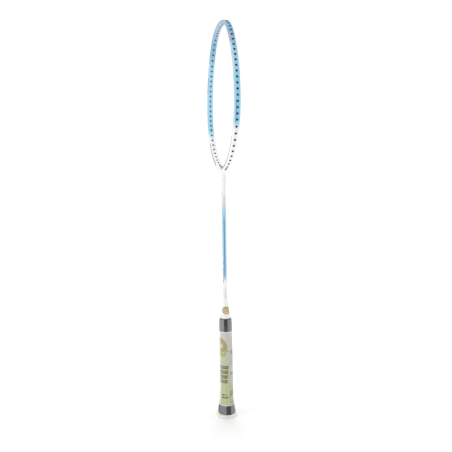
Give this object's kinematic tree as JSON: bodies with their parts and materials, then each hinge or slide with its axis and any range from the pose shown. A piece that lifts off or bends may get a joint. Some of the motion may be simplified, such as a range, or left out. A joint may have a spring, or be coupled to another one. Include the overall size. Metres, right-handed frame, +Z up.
{
  "type": "badminton racket",
  "caption": "Unstrung badminton racket with an oval hoop and grommets, slim tubular shaft, cone, wrapped octagonal handle in a film sleeve and flared butt cap.",
  "frame": {"origin": "centre of the butt cap's flat end", "axes": "+Z up the shaft to the head, X in the plane of the head, Y square to it"},
  "size_m": [0.2044, 0.0344, 0.6728],
  "materials": {
    "hoop_paint": "glossy lacquer over carbon fibre, sky blue fading to white towards the throat",
    "throat_paint": "glossy white lacquer",
    "shaft_paint": "glossy lacquer, white at both ends and blue between",
    "joint_metal": "plain machined",
    "grommet": "moulded black nylon",
    "core_wood": "plain sanded",
    "cone": "moulded, glossy white",
    "emblem": "gold foil under clear resin",
    "butt": "moulded, off-white",
    "butt_emblem": "silver foil under clear resin",
    "steel": "plain wire",
    "grip": "smooth black polyurethane wrap",
    "tape": "glossy black vinyl tape",
    "film": "printed pale green film, glossy",
    "film_clear": "glossy film lap"
  },
  "bodies": {
    "root": {"head_frame": "hoop_paint", "t_joint": "joint_metal", "throat_fairing": "throat_paint", "shaft": "shaft_paint", "grommets_top": "grommet", "grommets_right": "grommet", "grommets_left": "grommet", "grommets_throat": "grommet", "handle_core": "core_wood", "cone_cap": "cone", "cone_badge_right": "emblem", "cone_badge_left": "emblem", "butt_cap": "butt", "butt_badge": "butt_emblem", "butt_cap_staples": "steel", "grip_tack": "steel", "base_grip": "grip", "finishing_tape": "tape", "film_sleeve": "film", "film_seam": "film_clear"}
  },
  "joints": []
}
